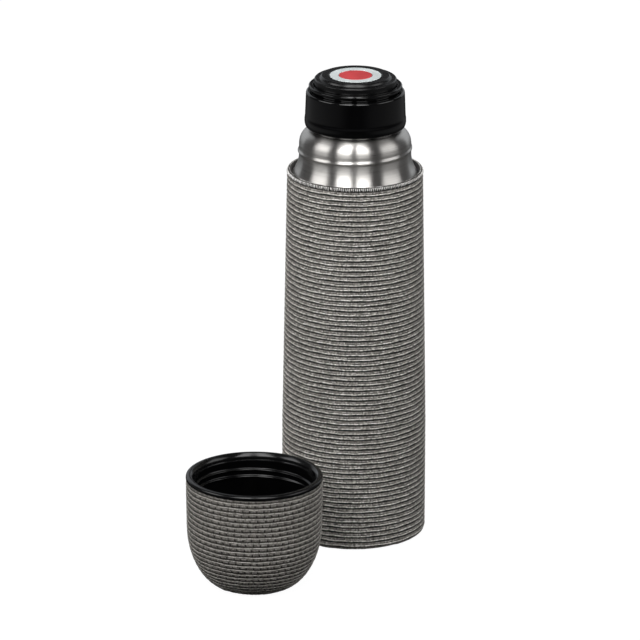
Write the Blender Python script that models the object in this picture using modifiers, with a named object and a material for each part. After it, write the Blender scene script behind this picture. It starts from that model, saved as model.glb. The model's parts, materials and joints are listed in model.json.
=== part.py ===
"""A half-litre steel vacuum flask in a stitched sleeve, its push-button stopper and its drinking cup.

Metres, +Z up. The origin is the centre of the flask's flat underside. Rest is the stopper screwed home
and the cup standing upright in front of the flask, on the same ground. +X is the side of the stopper's latch.
"""

import math

import bmesh
import bpy
import numpy as np

# Fits that every piece shares
TOUCH = 0.0003  # gap between pieces that touch, snap or are welded together
SLIDE = 0.00035  # gap between pieces that slide or turn in each other
STEEL_WALL = 0.0007
CHAMFER = 0.0005  # broken edge of a moulded or turned piece
FINE_CHAMFER = 0.0003  # the same on the thinnest edges
FACETS = 28
SMALL_FACETS = 16

# Body of the flask
BODY_RADIUS = 0.0363  # over the sleeve, below the taper
BODY_STRAIGHT = 0.060  # height where the taper starts
BODY_TAPER = 0.0022  # how much narrower the sleeve is at its top
SLEEVE_TOP = 0.1916
SLEEVE_WALL = 0.0020
SLEEVE_LIFT = 0.0008  # lower edge of the sleeve above the ground
SLEEVE_ROUND = 0.0017  # rounding of the sleeve's lower edge
SLEEVE_EDGE = 0.0011  # rounding of its upper edge
PAD_THICKNESS = 0.0017
FOOT_INSET = 0.0004  # how far the shell turns in at its foot
FOOT_TURN = 0.0020  # height of that turn
BOTTOM_FLANGE = 0.0050
VACUUM_GAP = 0.0011  # between the inner vessel and the shell at the sleeve's top, its narrowest place
VESSEL_FLOOR = 0.0090
VESSEL_SEAM = 0.0140  # height where the vessel's bottom is welded on
VESSEL_CORNER = 0.0040  # rounding between the vessel's wall and its bottom
VESSEL_CROWN = 0.0010  # how far its bottom is raised in the middle
VESSEL_SHOULDER_DROP = 0.0196  # from the sleeve's top down to the vessel's full width
FOIL_WALL = 0.0003
FOIL_BELOW_SHOULDER = 0.0014
FOIL_ABOVE_SEAM = 0.0020
GETTER_RADIUS = 0.0050
GETTER_OFFSET = 0.0120  # from the flask's axis
GETTER_THICKNESS = 0.0017
SEAL_RADIUS = 0.0045
SEAL_THICKNESS = 0.0009
SEAL_CONE = 0.0015  # slope of the dimple round the seal
PUMP_HOLE_RADIUS = 0.0012

# Bare steel shoulder and neck
FLARE_HEIGHT = 0.0080  # from the sleeve's top to the cup thread
FLARE_FOOT = 0.0025  # how far the flare runs on down inside the sleeve
FLARE_POWER = 2.0
SHELL_DROP = 0.0040  # from the sleeve's top down to the shell's full width
SHOULDER_STEP = 0.00365  # how far the shoulder stands in from the shell under the sleeve
SHOULDER_HEIGHT = 0.0137  # where the dome starts, above the sleeve's top
DOME_RADIUS = 0.0077
NECK_FILLET = 0.0016
NECK_HEIGHT = 0.0298  # lip of the neck above the sleeve's top
NECK_BORE = 0.01805  # radius over the roots of the stopper thread
NECK_GAP = 0.0010  # vacuum gap between the two walls of the neck
NECK_NARROWING = 0.0005  # how much tighter the bore is below the thread
LIP_FLARE = 0.0008  # how far the bore opens at the lip
CUP_LEAD = 0.0036
CUP_BEAD = 0.00065  # how far the cup thread's rolled bead stands out
CUP_BEAD_TOP = 0.0150  # height of the bead's helix at its first turn, above the sleeve's top
CUP_BEAD_SPAN = (0.85, 1.9)  # the part of the helix that is rolled, in turns below its top
CUP_BEAD_HALF = 0.00144  # half width of the bead
CUP_RIDGE_HALF = 0.0010  # half width of the cup's own thread

# Stopper: thread, plug and valve
STOPPER_LEAD = 0.0050
STOPPER_TURNS = 1.5
THREAD_DEPTH = 0.0010
THREAD_CLEARANCE = 0.00045
THREAD_BELOW_LIP = 0.0059
PLUG_WALL = 0.0020
PLUG_LENGTH = 0.0336
WINDOW_HEIGHT = 0.0065
WINDOW_WIDTH = 0.0140
WINDOW_RISE = 0.0069  # lower edge of the pouring windows above the plug's foot
GASKET_RISE = 0.0022  # lower edge of the gasket's groove above the plug's foot
GASKET_HEIGHT = 0.0030
GASKET_DEPTH = 0.0017
GASKET_BEVEL = 0.0010
PLUG_STEP = 0.0006  # how much thinner the plug is beside the gasket and at its top
VALVE_PORT = 0.0115  # radius of the opening that the valve closes
PLUG_FLOOR_RISE = 0.0146
PLUG_FLOOR = 0.0018
PORT_HEIGHT = 0.0030  # straight part of the valve's port
PORT_CONE = 0.0030  # cone above it
GUIDE_HEIGHT = 0.0030  # boss that guides the stem
GLAND_DEPTH = 0.0019  # seat of the stem's O-ring in that boss
GLAND_WALL = 0.0010
STEM_RADIUS = 0.0025
STEM_TIP_RADIUS = 0.0018
STEM_SHOULDER = 0.0020  # end of the thick stem above the plug's foot
STEM_TIP_OVERHANG = 0.0006  # how far the tip stays inside the valve disc
O_RING_WIRE = 0.00065
SPRING_RADIUS = 0.0070
SPRING_WIRE = 0.00055
SPRING_TURNS = 5
SPRING_LENGTH = 0.0134
COLLAR_THICKNESS = 0.0012
VALVE_SEAL_WIDTH = 0.0019  # how far the seal reaches over the port's edge
VALVE_SEAL_THICKNESS = 0.0013
VALVE_THICKNESS = 0.0020
VALVE_HUB = 0.0044
VALVE_HUB_RISE = 0.0012  # top of the hub above the plug's foot

# Stopper: shell, ring, button and latch
SKIRT_GAP = 0.0025  # pouring gap between the neck and the skirt
SKIRT_CLEAR = 0.0004  # skirt's foot above the top of the dome
SKIRT_WALL = 0.0025  # at the bead near the skirt's foot
SKIRT_TAPER = 0.0007
SKIRT_HEIGHT = 0.0190
SKIRT_BEAD_HEIGHT = 0.0048
SKIRT_BEAD_FOOT = 0.0026
SKIRT_BEAD_BLEND = 0.0014
SKIRT_EDGE = 0.0010
DECK_THICKNESS = 0.0015
DECK_ABOVE_LIP = 0.0011
SPIGOT_WALL = 0.0014
SPIGOT_DEPTH = 0.0036
WELL_WALL = 0.0027
RING_GROOVE = 0.0012  # open height between the skirt's top and the release ring
RING_THICKNESS = 0.0020
RING_OVERHANG = 0.00135  # how far the ring's flange reaches over the skirt's top
RING_SLEEVE_WALL = 0.0008
RING_DEPTH = 0.0076  # length of the ring's sleeve inside the well
RING_TRAVEL = 0.0009
BUTTON_ABOVE_RING = 0.0033
BUTTON_STEP = 0.0014  # height of the plateau over the ledge
BUTTON_LEDGE = 0.0032  # width of the ledge round the plateau
BUTTON_WALL = 0.0014
BUTTON_DEPTH = 0.0069
SOCKET_WALL = 0.0015
SOCKET_DEPTH = 0.0070
INLAY_DEPTH = 0.0008
INLAY_RADIUS = 0.0129
INLAY_DISC_RADIUS = 0.00825
LATCH_THICKNESS = 0.0012
LATCH_HALF_WIDTH = 0.0050
LATCH_BODY = 0.0065  # how far the wide part reaches past the stem
LATCH_END_GAP = 0.00085  # between the ramp's end and the well
LATCH_TAIL_GAP = 0.00055  # between the tongue and the well when the ring is pressed
LATCH_SLOT_PLAY = 0.00015
LATCH_ARM = 0.0022  # half width of the arm that the ring pushes
LATCH_TAIL = 0.0015  # half width of the return tongue
LATCH_RAMP_GAP = 0.0006
LATCH_RAMP_RUN = 0.00115
LATCH_RAMP_TOP = 0.0011  # length of the ramp's flat top

# Cup
CUP_X = -0.0497
CUP_Y = -0.0810
CUP_HEIGHT = 0.0577
CUP_SLEEVE_WALL = 0.0017
CUP_LINER_WALL = 0.0015
CUP_FOOT_RADIUS = 0.0159
CUP_BOWL_HEIGHT = 0.0300
CUP_BOWL_POWER = 1.85  # 2 would be an ellipse
CUP_LIP = 0.0024
CUP_LIP_ROUND = 0.0012
CUP_LIP_BEVEL = 0.0014
CUP_LIP_WIDTH = 0.0018  # from the thread's root out to the bevel's top
CUP_FLOOR_LIFT = 0.0006
CUP_WALL_DRAFT = 0.0004  # how much narrower the cup is where its bowl starts
CUP_THREAD_DROP = 0.0056  # start of the cup's thread below its rim
CUP_THREAD_TURNS = 2.0
CUP_THREAD_CLEARANCE = 0.00035
CUP_DISC_THICKNESS = 0.0014

# Sizes that follow from those above
SLEEVE_TOP_RADIUS = BODY_RADIUS - BODY_TAPER
SHELL_TOP_RADIUS = SLEEVE_TOP_RADIUS - SLEEVE_WALL - TOUCH
SHELL_FOOT = PAD_THICKNESS + TOUCH
SHOULDER_RADIUS = SHELL_TOP_RADIUS - SHOULDER_STEP
SHOULDER_Z = SLEEVE_TOP + SHOULDER_HEIGHT
SHELL_STRAIGHT_Z = SLEEVE_TOP - SHELL_DROP
VESSEL_RADIUS = SHELL_TOP_RADIUS - STEEL_WALL - VACUUM_GAP
LIP_Z = SLEEVE_TOP + NECK_HEIGHT
NECK_OUTER = NECK_BORE + 2 * STEEL_WALL + NECK_GAP
THREAD_TOP = LIP_Z - THREAD_BELOW_LIP
THREAD_LENGTH = STOPPER_TURNS * STOPPER_LEAD
PLUG_RADIUS = NECK_BORE - THREAD_DEPTH - THREAD_CLEARANCE
DECK_Z = LIP_Z + DECK_ABOVE_LIP
DECK_TOP = DECK_Z + DECK_THICKNESS
PLUG_TOP = DECK_Z - TOUCH
PLUG_FOOT = PLUG_TOP - PLUG_LENGTH
PLUG_BORE = PLUG_RADIUS - PLUG_WALL
PLUG_FLOOR_Z = PLUG_FOOT + PLUG_FLOOR_RISE
GUIDE_TOP = PLUG_FLOOR_Z + PLUG_FLOOR + GUIDE_HEIGHT
STEM_BORE = STEM_RADIUS + SLIDE
SKIRT_INNER = NECK_OUTER + SKIRT_GAP
SKIRT_RADIUS = SKIRT_INNER + SKIRT_WALL
SKIRT_FOOT_Z = SHOULDER_Z + DOME_RADIUS + SKIRT_CLEAR
SKIRT_TOP = SKIRT_FOOT_Z + SKIRT_HEIGHT
SKIRT_TOP_RADIUS = SKIRT_RADIUS - SKIRT_TAPER
WELL_RADIUS = SKIRT_TOP_RADIUS - WELL_WALL
RING_TOP = SKIRT_TOP + RING_GROOVE + RING_THICKNESS
RING_OUTER = WELL_RADIUS + RING_OVERHANG
RING_SLEEVE_OUTER = WELL_RADIUS - TOUCH
RING_SLEEVE_INNER = RING_SLEEVE_OUTER - RING_SLEEVE_WALL
RING_FOOT = RING_TOP - RING_DEPTH
BUTTON_RADIUS = RING_SLEEVE_INNER - SLIDE
LEDGE_Z = RING_TOP + BUTTON_ABOVE_RING
BUTTON_TOP = LEDGE_Z + BUTTON_STEP
SPRING_FOOT = PLUG_FLOOR_Z + PLUG_FLOOR + TOUCH
COLLAR_Z = SPRING_FOOT + SPRING_LENGTH + TOUCH
VALVE_TOP = PLUG_FOOT - TOUCH
VALVE_RADIUS = VALVE_PORT + VALVE_SEAL_WIDTH
CUP_RADIUS = SLEEVE_TOP_RADIUS
CUP_THREAD_ROOT = SHOULDER_RADIUS + 2 * CUP_BEAD + CUP_THREAD_CLEARANCE
CUP_THREAD_CREST = SHOULDER_RADIUS + CUP_THREAD_CLEARANCE


# Outlines: lists of (radius, height), run down the outer side of a turned shape


def arc(centre, radius, start_deg, end_deg, steps):
    """Points round a centre in the (radius, height) plane."""
    angles = np.radians(np.linspace(start_deg, end_deg, steps + 1))
    return [(centre[0] + radius * math.cos(a), centre[1] + radius * math.sin(a)) for a in angles]


def wall_rows(radius, top, bottom, pitch):
    """Points down a straight wall, close enough together to be shaped into a thread."""
    count = max(2, round((top - bottom) / pitch))
    return [(radius, z) for z in np.linspace(top, bottom, count + 1)]


def inset(line, depth):
    """The line moved inwards by a wall thickness, for a line that runs down an outer surface."""
    points = np.array(line)
    along = np.diff(points, axis=0)
    along /= np.linalg.norm(along, axis=1)[:, None]
    normals = np.column_stack((along[:, 1], -along[:, 0]))
    before = np.vstack((normals[:1], normals))
    after = np.vstack((normals, normals[-1:]))
    mitre = (before + after) / (1 + np.sum(before * after, axis=1))[:, None]
    return [tuple(p) for p in points + depth * mitre]


def sleeve_radius(z):
    """Outside of the body sleeve: straight, then narrowing evenly to its top."""
    rise = max(0.0, z - BODY_STRAIGHT) / (SLEEVE_TOP - BODY_STRAIGHT)
    return BODY_RADIUS - BODY_TAPER * rise


def shell_radius(z):
    return sleeve_radius(z) - SLEEVE_WALL - TOUCH


def flare_line(steps):
    """The shell from the foot of the cup thread, widening more and more down to below the sleeve's rim."""
    top = SLEEVE_TOP + FLARE_HEIGHT
    height = FLARE_HEIGHT + FLARE_FOOT
    width = SHELL_TOP_RADIUS - SHOULDER_RADIUS
    shares = np.linspace(0, 1, steps + 1)[1:]
    return [(SHOULDER_RADIUS + width * s**FLARE_POWER, top - height * s) for s in shares]


def shell_line(pitch):
    """Outside of the steel shell, from the end of its neck down to its foot, with a row every pitch."""
    centre = SHOULDER_RADIUS - DOME_RADIUS
    inner = min(NECK_OUTER + NECK_FILLET, SHOULDER_RADIUS - NECK_FILLET)
    end = math.degrees(math.acos(max(0.0, min(1.0, (inner - centre) / DOME_RADIUS))))
    dome = arc((centre, SHOULDER_Z), DOME_RADIUS, end, 0, 5)
    neck_foot = max(dome[0][1] + NECK_FILLET, SHOULDER_Z + DOME_RADIUS + NECK_FILLET)
    line = [(NECK_OUTER, LIP_Z - STEEL_WALL - TOUCH), (NECK_OUTER, neck_foot)]
    if centre > inner:  # a flat ledge joins a narrow neck to a wide dome, under the skirt
        line.append((inner, dome[0][1]))
    line += dome
    line += wall_rows(SHOULDER_RADIUS, SHOULDER_Z, SLEEVE_TOP + FLARE_HEIGHT, pitch)[1:]
    line += flare_line(max(4, round(FLARE_HEIGHT / pitch)))
    line += [(SHELL_TOP_RADIUS, SHELL_STRAIGHT_Z), (shell_radius(BODY_STRAIGHT), BODY_STRAIGHT)]
    line += [(shell_radius(0), SHELL_FOOT + FOOT_TURN), (shell_radius(0) - FOOT_INSET, SHELL_FOOT)]
    return line


def vessel_line(pitch):
    """Inside of the inner vessel, from its lip down to the seam of its bottom."""
    bore = NECK_BORE - NECK_NARROWING
    thread_foot = THREAD_TOP - THREAD_LENGTH
    line = [(NECK_BORE + LIP_FLARE, LIP_Z)]
    line += wall_rows(NECK_BORE, LIP_Z - LIP_FLARE, thread_foot - STOPPER_LEAD / 10, pitch)
    line += [(bore, thread_foot - STOPPER_LEAD / 2)]
    inside = VESSEL_RADIUS - STEEL_WALL
    top = PLUG_FOOT + STEEL_WALL
    bottom = SLEEVE_TOP - VESSEL_SHOULDER_DROP
    for share in np.linspace(0, 1, 7):
        swell = 0.5 - 0.5 * math.cos(math.pi * share)
        line.append((bore + (inside - bore) * swell, top + (bottom - top) * share))
    line.append((inside, VESSEL_SEAM + TOUCH))
    return line


def cup_line(top):
    """Outside of the cup, from a height down to its flat foot: a bowl under a nearly straight wall."""
    line = [(CUP_RADIUS, top)]
    width = CUP_RADIUS - CUP_WALL_DRAFT - CUP_FOOT_RADIUS
    for angle in np.radians(np.linspace(0, 90, 10)):
        drop = math.sin(angle)
        reach = (1 - drop**CUP_BOWL_POWER) ** (1 / CUP_BOWL_POWER)
        line.append((CUP_FOOT_RADIUS + width * reach, CUP_BOWL_HEIGHT * (1 - drop)))
    return line


# Making solids


def collection(name, hidden=False):
    made = bpy.data.collections.new(name)
    bpy.context.scene.collection.children.link(made)
    made.hide_render = hidden
    return made


def material(name, colour, roughness, metallic=0.0):
    made = bpy.data.materials.new(name)
    made.use_nodes = True
    shader = made.node_tree.nodes["Principled BSDF"]
    shader.inputs["Base Color"].default_value = (*colour, 1.0)
    shader.inputs["Roughness"].default_value = roughness
    shader.inputs["Metallic"].default_value = metallic
    made.diffuse_color = (*colour, 1.0)
    return made


def turned(name, outline, finish, at=(0.0, 0.0, 0.0), facets=FACETS, group=None):
    """A solid turned about Z: a closed ring, or a full solid where the outline starts and ends on the axis."""
    edges = [(i, i + 1) for i in range(len(outline) - 1)]
    if outline[0][0] > 0:
        edges.append((len(outline) - 1, 0))
    mesh = bpy.data.meshes.new(name)
    mesh.from_pydata([(r, 0.0, z) for r, z in outline], edges, [])
    made = bpy.data.objects.new(name, mesh)
    (group or PARTS).objects.link(made)
    made.location = at
    made.data.materials.append(finish)
    screw = made.modifiers.new("turn", "SCREW")
    screw.steps = facets
    screw.render_steps = facets
    screw.use_merge_vertices = True
    screw.merge_threshold = 0.00001
    return made


def realised(made):
    """Turns the evaluated shape into the object's own mesh, so that its points can be moved."""
    bpy.context.view_layer.update()
    graph = bpy.context.evaluated_depsgraph_get()
    made.data = bpy.data.meshes.new_from_object(made.evaluated_get(graph))
    made.modifiers.clear()
    return made


def roll_thread(made, surface, lead, top, span, height, half_width):
    """Raises a right-hand helical ridge on a wall, inwards where height is negative.

    surface gives the wall's radius at a height. The helix crosses +X at the top, and the ridge takes the part
    of it between the two turn counts in span, fading in and out over a quarter turn.
    """
    realised(made)
    for vertex in made.data.vertices:
        x, y, z = vertex.co
        radius = math.hypot(x, y)
        if radius == 0 or abs(radius - surface(z)) > STEEL_WALL / 2:
            continue
        turned_by = (-math.atan2(y, x) / math.tau) % 1.0
        whole = round((top - z) / lead - turned_by)
        along = whole + turned_by
        off = z - (top - lead * along)
        fade = max(0.0, min(1.0, 4 * (along - span[0]), 4 * (span[1] - along)))
        if fade == 0 or abs(off) >= half_width:
            continue
        ridge = height * fade * (0.5 + 0.5 * math.cos(math.pi * off / half_width))
        vertex.co.x += x / radius * ridge
        vertex.co.y += y / radius * ridge
    return made


def outline_solid(name, points, low, high, finish, upright=False, group=None):
    """A flat outline made a plate between two heights, or, upright, a wall across Y drawn in X and Z."""
    curve = bpy.data.curves.new(name, "CURVE")
    curve.dimensions = "2D"
    curve.fill_mode = "BOTH"
    curve.extrude = (high - low) / 2
    spline = curve.splines.new("POLY")
    spline.points.add(len(points) - 1)
    for point, (u, v) in zip(spline.points, points):
        point.co = (u, v, 0.0, 1.0)
    spline.use_cyclic_u = True
    made = bpy.data.objects.new(name, curve)
    (group or PARTS).objects.link(made)
    middle = (high + low) / 2
    made.location = (0.0, -middle, 0.0) if upright else (0.0, 0.0, middle)
    made.rotation_euler = (math.pi / 2, 0.0, 0.0) if upright else (0.0, 0.0, 0.0)
    curve.materials.append(finish)
    return made


def as_mesh(made):
    """A curve's solid as a mesh object of the same name, with its caps welded on."""
    bpy.context.view_layer.update()
    graph = bpy.context.evaluated_depsgraph_get()
    mesh = bpy.data.meshes.new_from_object(made.evaluated_get(graph))
    work = bmesh.new()
    work.from_mesh(mesh)
    bmesh.ops.remove_doubles(work, verts=work.verts, dist=0.000001)
    work.to_mesh(mesh)
    work.free()
    name = made.name
    group = made.users_collection[0]
    place = made.matrix_world.copy()
    bpy.data.objects.remove(made)
    solid = bpy.data.objects.new(name, mesh)
    solid.matrix_world = place
    group.objects.link(solid)
    return solid


def helper(made):
    """Marks a cutter or a piece to be joined, which isn't part of the flask itself."""
    made.hide_render = True
    made.display_type = "WIRE"
    return made


def combine(made, other, operation="DIFFERENCE"):
    boolean = made.modifiers.new(other.name, "BOOLEAN")
    boolean.operation = operation
    boolean.object = helper(other)
    boolean.solver = "EXACT"
    return made


def box_cutter(name, size, at):
    bpy.ops.mesh.primitive_cube_add(size=1.0, location=at)
    made = bpy.context.object
    made.name = name
    made.dimensions = size
    bpy.ops.object.transform_apply(location=False, rotation=False, scale=True)
    move_to(made, CUTTERS)
    return made


def move_to(made, group):
    for old in made.users_collection:
        old.objects.unlink(made)
    group.objects.link(made)


# The flask's body


def outer_shell():
    line = shell_line(CUP_LEAD / 4)
    outline = line + inset(shell_line(CUP_LEAD), STEEL_WALL)[::-1]
    shell = turned("outer_shell", outline, STEEL)
    heights = [z for r, z in reversed(line)]
    radii = [r for r, z in reversed(line)]
    top = SLEEVE_TOP + CUP_BEAD_TOP

    def surface(z):
        return np.interp(z, heights, radii)

    roll_thread(shell, surface, CUP_LEAD, top, CUP_BEAD_SPAN, CUP_BEAD, CUP_BEAD_HALF)


def outer_bottom():
    rim = shell_radius(0) - STEEL_WALL - TOUCH - FOOT_INSET
    low = SHELL_FOOT
    upper = low + STEEL_WALL
    dimple = low + SEAL_THICKNESS + TOUCH
    dimple_top = dimple + STEEL_WALL
    outline = [(rim, low + BOTTOM_FLANGE), (rim, low + CHAMFER), (rim - CHAMFER, low)]
    outline += [(SEAL_RADIUS + SEAL_CONE, low), (SEAL_RADIUS + TOUCH, dimple), (PUMP_HOLE_RADIUS, dimple)]
    outline += [(PUMP_HOLE_RADIUS, dimple_top), (SEAL_RADIUS + STEEL_WALL, dimple_top)]
    outline += [(SEAL_RADIUS + SEAL_CONE + CHAMFER, upper), (rim - STEEL_WALL - CHAMFER, upper)]
    outline += [(rim - STEEL_WALL, upper + CHAMFER), (rim - STEEL_WALL, low + BOTTOM_FLANGE)]
    turned("outer_bottom", outline, STEEL)


def vacuum_seal():
    low = SHELL_FOOT
    high = low + SEAL_THICKNESS
    edge = SEAL_RADIUS
    outline = [(0.0, high), (edge - FINE_CHAMFER, high), (edge, high - FINE_CHAMFER), (edge, low), (0.0, low)]
    turned("vacuum_seal", outline, SOLDER, facets=SMALL_FACETS)


def base_pad():
    edge = shell_radius(0) - FOOT_INSET
    high = PAD_THICKNESS
    outline = [(0.0, high), (edge, high), (edge, CHAMFER), (edge - CHAMFER, 0.0), (0.0, 0.0)]
    turned("base_pad", outline, PAD)


def inner_vessel():
    line = vessel_line(STOPPER_LEAD / 5)
    outside = inset(vessel_line(STOPPER_LEAD), -STEEL_WALL)
    lip = [(NECK_OUTER - FINE_CHAMFER, LIP_Z), (NECK_OUTER, LIP_Z - FINE_CHAMFER)]
    lip += [(NECK_OUTER, LIP_Z - STEEL_WALL)]
    under_lip = [(NECK_BORE + STEEL_WALL, LIP_Z - STEEL_WALL)]
    neck = [p for p in outside if p[1] < LIP_Z - 2 * STEEL_WALL]
    vessel = turned("inner_vessel", lip + under_lip + neck + line[::-1], STEEL)
    half_turn = STOPPER_LEAD / 2
    span = (0.0, STOPPER_TURNS + 0.5)
    top = THREAD_TOP + half_turn
    roll_thread(vessel, lambda z: NECK_BORE, STOPPER_LEAD, top, span, -THREAD_DEPTH, half_turn)


def inner_bottom():
    edge = VESSEL_RADIUS
    line = [(edge, VESSEL_SEAM)]
    line += arc((edge - VESSEL_CORNER, VESSEL_FLOOR + VESSEL_CORNER), VESSEL_CORNER, 0, -90, 3)
    line += [(0.0, VESSEL_FLOOR + VESSEL_CROWN)]
    inner = inset(line, STEEL_WALL)[-2::-1]
    turned("inner_bottom", [(0.0, line[-1][1] + STEEL_WALL)] + inner + line, STEEL)


def reflective_foil():
    inside = VESSEL_RADIUS + TOUCH
    outside = inside + FOIL_WALL
    high = SLEEVE_TOP - VESSEL_SHOULDER_DROP - FOIL_BELOW_SHOULDER
    low = VESSEL_SEAM + FOIL_ABOVE_SEAM
    turned("reflective_foil", [(outside, high), (outside, low), (inside, low), (inside, high)], FOIL)


def getter():
    high = VESSEL_FLOOR - TOUCH
    low = high - GETTER_THICKNESS
    edge = GETTER_RADIUS
    outline = [(0.0, high), (edge, high), (edge, low + FINE_CHAMFER), (edge - FINE_CHAMFER, low), (0.0, low)]
    turned("getter", outline, GETTER, at=(GETTER_OFFSET, 0.0, 0.0), facets=SMALL_FACETS)


def body_sleeve():
    foot = SLEEVE_LIFT
    outer = arc((SLEEVE_TOP_RADIUS - SLEEVE_EDGE, SLEEVE_TOP - SLEEVE_EDGE), SLEEVE_EDGE, 90, 0, 2)
    outer += [(BODY_RADIUS, BODY_STRAIGHT)]
    outer += arc((BODY_RADIUS - SLEEVE_ROUND, foot + SLEEVE_ROUND), SLEEVE_ROUND, 0, -80, 4)
    inner = [(shell_radius(0) + TOUCH, foot), (shell_radius(0) + TOUCH, BODY_STRAIGHT)]
    inner += [(SHELL_TOP_RADIUS + TOUCH, SHELL_STRAIGHT_Z), (SHELL_TOP_RADIUS + TOUCH, SLEEVE_TOP - CHAMFER)]
    turned("body_sleeve", outer + inner, SLEEVE_FABRIC)


# The stopper


def stopper_shell():
    """Skirt, deck and the well that holds the release ring and the button, moulded in one."""
    foot = SKIRT_FOOT_Z
    bead = foot + SKIRT_BEAD_HEIGHT
    outer = arc((SKIRT_TOP_RADIUS - SKIRT_EDGE, SKIRT_TOP - SKIRT_EDGE), SKIRT_EDGE, 90, 0, 3)
    outer += [(SKIRT_RADIUS - CHAMFER / 2, bead + SKIRT_BEAD_BLEND), (SKIRT_RADIUS, bead)]
    outer += [(SKIRT_RADIUS, foot + SKIRT_BEAD_FOOT), (SKIRT_RADIUS - CHAMFER, foot + 2 * CHAMFER)]
    outer += [(SKIRT_RADIUS - 3 * CHAMFER, foot)]
    inner = [(SKIRT_INNER, foot), (SKIRT_INNER, DECK_Z - 2 * CHAMFER), (SKIRT_INNER - 2 * CHAMFER, DECK_Z)]
    spigot = PLUG_BORE - TOUCH
    spigot_foot = DECK_Z - SPIGOT_DEPTH
    inner += [(spigot, DECK_Z), (spigot, spigot_foot), (spigot - SPIGOT_WALL, spigot_foot)]
    inner += [(spigot - SPIGOT_WALL, DECK_Z), (STEM_BORE, DECK_Z), (STEM_BORE, DECK_TOP)]
    inner += [(WELL_RADIUS, DECK_TOP), (WELL_RADIUS, SKIRT_TOP - CHAMFER), (WELL_RADIUS + CHAMFER, SKIRT_TOP)]
    turned("stopper_shell", outer + inner, BLACK_GLOSS)


def stopper_plug():
    """Threaded tube under the deck, with pouring windows, the gasket's groove and the stem's guide."""
    foot = PLUG_FOOT
    thread_foot = THREAD_TOP - THREAD_LENGTH
    groove = foot + GASKET_RISE
    groove_top = groove + GASKET_HEIGHT
    flange = PLUG_RADIUS - PLUG_STEP
    outer = [(flange, PLUG_TOP), (PLUG_RADIUS, PLUG_TOP - PLUG_STEP)]
    step = STOPPER_LEAD / 5
    outer += wall_rows(PLUG_RADIUS, THREAD_TOP + step, thread_foot - step, step)
    outer += [(PLUG_RADIUS, groove_top + 2 * PLUG_STEP), (flange, groove_top)]
    outer += [(flange - GASKET_DEPTH, groove_top), (flange - GASKET_DEPTH, groove)]
    outer += [(flange, groove), (flange, foot + CHAMFER), (flange - CHAMFER, foot)]
    floor = PLUG_FLOOR_Z
    chamber = PLUG_BORE - PLUG_STEP
    gland = STEM_RADIUS + TOUCH + 2 * O_RING_WIRE + TOUCH
    gland_foot = GUIDE_TOP - GLAND_DEPTH
    boss = gland + GLAND_WALL
    inner = [(VALVE_PORT, foot), (VALVE_PORT, foot + PORT_HEIGHT), (chamber, foot + PORT_HEIGHT + PORT_CONE)]
    inner += [(chamber, floor), (STEM_BORE, floor), (STEM_BORE, gland_foot), (gland, gland_foot)]
    inner += [(gland, GUIDE_TOP), (boss, GUIDE_TOP), (boss, floor + PLUG_FLOOR)]
    inner += [(PLUG_BORE, floor + PLUG_FLOOR), (PLUG_BORE, PLUG_TOP)]
    plug = turned("stopper_plug", outer + inner, BLACK_SATIN)
    span = (0.0, STOPPER_TURNS)
    roll_thread(plug, lambda z: PLUG_RADIUS, STOPPER_LEAD, THREAD_TOP, span, THREAD_DEPTH, STOPPER_LEAD / 2)
    height = foot + WINDOW_RISE + WINDOW_HEIGHT / 2
    length = 3 * PLUG_RADIUS
    combine(plug, box_cutter("windows_x", (length, WINDOW_WIDTH, WINDOW_HEIGHT), (0, 0, height)))
    combine(plug, box_cutter("windows_y", (WINDOW_WIDTH, length, WINDOW_HEIGHT), (0, 0, height)))


def plug_gasket():
    """Silicone ring that seals the plug in the neck."""
    low = PLUG_FOOT + GASKET_RISE + TOUCH
    high = low + GASKET_HEIGHT - 2 * TOUCH
    inside = PLUG_RADIUS - PLUG_STEP - GASKET_DEPTH + TOUCH
    outside = NECK_BORE - NECK_NARROWING - TOUCH
    outline = [(outside - CHAMFER, high), (outside, high - CHAMFER), (outside, low + GASKET_BEVEL)]
    outline += [(outside - GASKET_BEVEL, low), (inside, low), (inside, high)]
    turned("plug_gasket", outline, SILICONE)


def stem_o_ring():
    centre = (STEM_RADIUS + TOUCH + O_RING_WIRE, GUIDE_TOP - GLAND_DEPTH + TOUCH + O_RING_WIRE)
    outline = arc(centre, O_RING_WIRE, 90, -225, 7)
    turned("stem_o_ring", outline, SEAL_RUBBER, facets=SMALL_FACETS)


def main_spring():
    """Coil that pushes the stem's collar up, round the stem's guide."""
    low = SPRING_FOOT + SPRING_WIRE
    high = SPRING_FOOT + SPRING_LENGTH - SPRING_WIRE
    count = SPRING_TURNS * 10
    curve = bpy.data.curves.new("main_spring", "CURVE")
    curve.dimensions = "3D"
    curve.bevel_depth = SPRING_WIRE
    curve.bevel_resolution = 1
    curve.use_fill_caps = True
    spline = curve.splines.new("POLY")
    spline.points.add(count)
    for index, point in enumerate(spline.points):
        angle = math.tau * SPRING_TURNS * index / count
        x = SPRING_RADIUS * math.cos(angle)
        y = SPRING_RADIUS * math.sin(angle)
        point.co = (x, y, low + (high - low) * index / count, 1.0)
    made = bpy.data.objects.new("main_spring", curve)
    PARTS.objects.link(made)
    curve.materials.append(SPRING_STEEL)


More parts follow.
